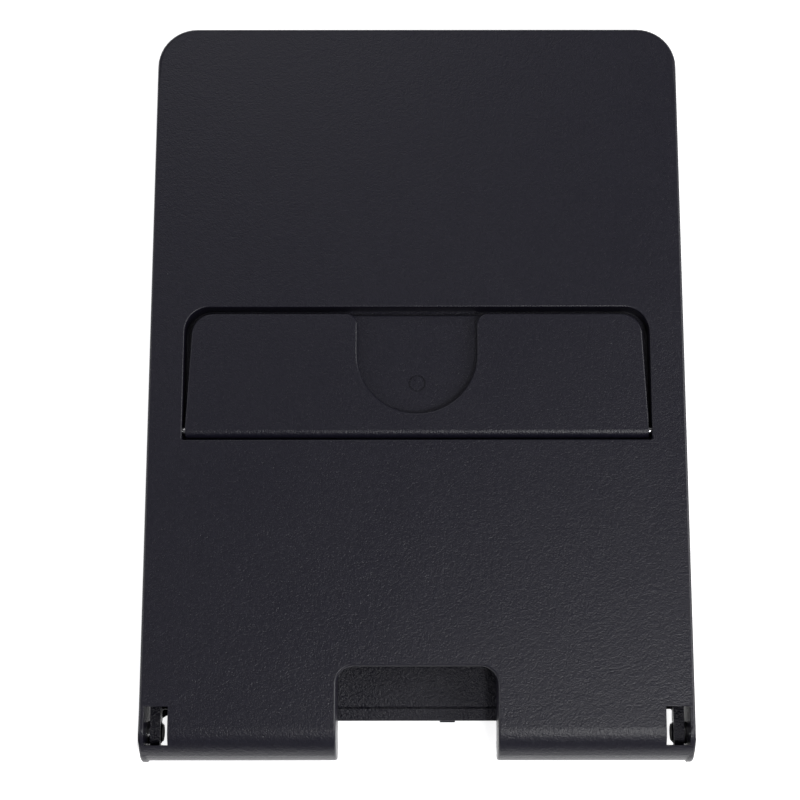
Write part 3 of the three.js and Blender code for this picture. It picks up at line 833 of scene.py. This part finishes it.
class STAND_OT_prop_leg(bpy.types.Operator):
    """Make the prop leg behind the backrest"""

    bl_idname = "stand.prop_leg"
    bl_label = "Prop leg"

    def execute(self, context):
        rims = context.scene.stand_rims
        knuckle_end = PROP_LOW.y + 4 * MM

        def rim_of(edge):
            middle = middle_of(edge)
            if middle.y < knuckle_end:
                return 0
            return rims.opening if both_at(edge, Z, PROP_LOW.z) else rims.fine

        leg = rounded_copy("prop_leg", "prop_leg_moulding", rim_of, inner_plastics_with_painted_shade())
        # the prop leg's darker plastic is painted shade
        finished(leg, "prop", "inner_plastic", "prop_leg")
        return {"FINISHED"}


class STAND_OT_pins(bpy.types.Operator):
    """Make the six turned hinge pins"""

    bl_idname = "stand.pins"
    bl_label = "Hinge pins"

    def execute(self, context):
        for hinge, chamfer in PIN_CHAMFERS.items():
            for side in SIDES:
                self.pin(f"{hinge}_hinge_pin_{side}", f"{hinge}_pin_{side}", chamfer)
        return {"FINISHED"}

    def pin(self, node, name, chamfer):
        """A pin with chamfered ends and a dished inner end painted dark as shade, turned into the CAD pin's
        box
        """
        low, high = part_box(node)
        radius = (high.z - low.z) / 2
        length = high.x - low.x
        hand = -1 if low.x < 0 else 1
        inner = min(abs(low.x), abs(high.x))
        centre_y = (low.y + high.y) / 2
        centre_z = (low.z + high.z) / 2
        dish = radius * 0.06
        profile = (
            (0, dish), (radius * 0.45, dish), (radius * 0.62, 0), (radius - chamfer * 1.12, 0),
            (radius - chamfer, chamfer * 0.05), (radius - chamfer * 0.1, chamfer * 0.88),
            (radius, chamfer * 1.1), (radius, length - chamfer),
            (radius - chamfer * 0.6, length), (0, length),
        )
        pin = with_mesh(name, turned(
            profile, lambda a, b, distance: (hand * (inner + distance), centre_y + a, centre_z + b), 64),
            steel_material())
        # painted shade: the inner end face is drawn near black instead of steel
        pin.data.materials.append(painted_shade_end_material())
        for face in pin.data.polygons:
            across = math.hypot(face.center.y - centre_y, face.center.z - centre_z)
            at_end = abs(face.normal.x) > 0.9 and abs(face.center.x) < inner + dish
            if at_end and across < radius - chamfer:
                face.material_index = 1
        finished(pin, "backrest", "pin_steel", node)


class STAND_OT_foot_pads(bpy.types.Operator):
    """Make the four rubber foot pads with their rings"""

    bl_idname = "stand.foot_pads"
    bl_label = "Foot pads"

    def execute(self, context):
        marks = context.scene.stand_marks
        thickness = 0.16 * MM
        rubber = rubber_material()
        tree = ring_tree(rubber)
        for name in ("front_left", "front_right", "rear_left", "rear_right"):
            low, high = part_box(f"foot_pad_{name}")
            centre = (low + high) / 2
            radius = (high.x - low.x) / 2
            rim = 0.3 * MM
            sole = low.z + thickness
            profile = (
                (0, sole), (radius - 2 * rim, sole), (radius - 1.6 * rim, low.z + 0.02 * MM),
                (radius - rim, low.z), (radius - rim * 0.3, low.z + rim * 0.3), (radius, low.z + rim),
                (radius, high.z - rim * 0.5), (radius - rim * 0.5, high.z), (0, high.z),
            )
            pad = with_mesh(f"foot_{name}", turned(
                profile, lambda a, b, z: (centre.x + a, centre.y + b, z), 56), rubber)
            rings = grow(
                points_object(f"foot_rings_{name}", [(centre.x, centre.y, sole)]), tree,
                count=marks.foot_rings, outer=radius - 3.2 * rim, thickness=thickness)
            finished(pad, "base", "rubber", f"foot_pad_{name}")
            finished(rings, "base", "rubber")
        return {"FINISHED"}


class STAND_OT_grip_pads(bpy.types.Operator):
    """Make the two ribbed pads on the hidden face of the shelf"""

    bl_idname = "stand.grip_pads"
    bl_label = "Grip pads"

    def execute(self, context):
        marks = context.scene.stand_marks
        rubber = rubber_material()
        tree = rib_tree(rubber)
        rib = 0.09 * MM
        for side in SIDES:
            low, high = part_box(f"shelf_grip_pad_{side}")
            centre = (low + high) / 2
            body_low = Vector((low.x, low.y, low.z + rib))
            bm = rounded_slab(body_low, high, 2 * MM, 0.12 * MM)
            pad = grow(
                with_mesh(f"shelf_pad_{side}", bm, rubber), tree,
                count=marks.pad_ribs, span=high.x - low.x - 4 * MM, length=high.y - low.y - 1.6 * MM,
                rib_radius=rib, centre_x=centre.x, centre_y=centre.y, height=body_low.z)
            finished(pad, "shelf", "rubber", f"shelf_grip_pad_{side}")
        return {"FINISHED"}


class STAND_OT_mould_marks(bpy.types.Operator):
    """Make the ejector discs behind the face and the bump left by the gate"""

    bl_idname = "stand.mould_marks"
    bl_label = "Mould marks"

    def execute(self, context):
        marks = context.scene.stand_marks
        height = 0.12 * MM
        places = [
            (x, from_round_end(distance), FACE_UNDERSIDE - height / 2 + SNAP)
            for x in (-DISC_COLUMN, DISC_COLUMN) for distance in DISC_DISTANCES
        ]
        discs = grow(
            points_object("ejector_discs", places), disc_tree(plastics()[0]),
            radius=marks.ejector, height=height)
        finished(discs, "backrest", "body_plastic")
        radius = 0.28 * MM
        sunk = 0.05 * MM
        centre = Vector((-0.35 * MM, GATE_Y + 0.75 * MM, ISLAND_Z))
        profile = (
            (0, -sunk), (radius, -sunk), (radius, 0.02 * MM), (radius * 0.8, 0.09 * MM), (0, 0.12 * MM))
        nub = with_mesh("gate_nub", turned(
            profile, lambda a, b, z: (centre.x + a, centre.y + b, centre.z + z), 20), plastics()[1])
        finished(nub, "backrest", "body_plastic")
        return {"FINISHED"}


class STAND_PT_panel(bpy.types.Panel):
    """Buttons that build the stand"""

    bl_idname = "STAND_PT_panel"
    bl_label = "Desk Stand"
    bl_space_type = "VIEW_3D"
    bl_region_type = "UI"
    bl_category = "Desk Stand"

    def draw(self, context):
        for operator in OPERATORS:
            self.layout.operator(operator.bl_idname)
        for name in SETTINGS:
            box = self.layout.box()
            group = getattr(context.scene, name)
            for setting in group.bl_rna.properties.keys()[2:]:
                box.prop(group, setting)


SETTINGS = {
    "stand_finish": StandFinish, "stand_rims": StandRims,
    "stand_marks": StandMarks, "stand_stage": StandStage,
}
OPERATORS = (
    STAND_OT_stage, STAND_OT_backrest, STAND_OT_shelf, STAND_OT_base, STAND_OT_prop_leg, STAND_OT_pins,
    STAND_OT_foot_pads, STAND_OT_grip_pads, STAND_OT_mould_marks,
)


def register():
    for group in (*SETTINGS.values(), *OPERATORS, STAND_PT_panel):
        bpy.utils.register_class(group)
    for name, group in SETTINGS.items():
        setattr(bpy.types.Scene, name, PointerProperty(type=group))


def unregister():
    for name in SETTINGS:
        delattr(bpy.types.Scene, name)
    for group in (*SETTINGS.values(), *OPERATORS, STAND_PT_panel):
        bpy.utils.unregister_class(group)


def main():
    register()
    for operator in OPERATORS:
        folder, call = operator.bl_idname.split(".")
        getattr(getattr(bpy.ops, folder), call)()


if __name__ == "__main__":
    main()
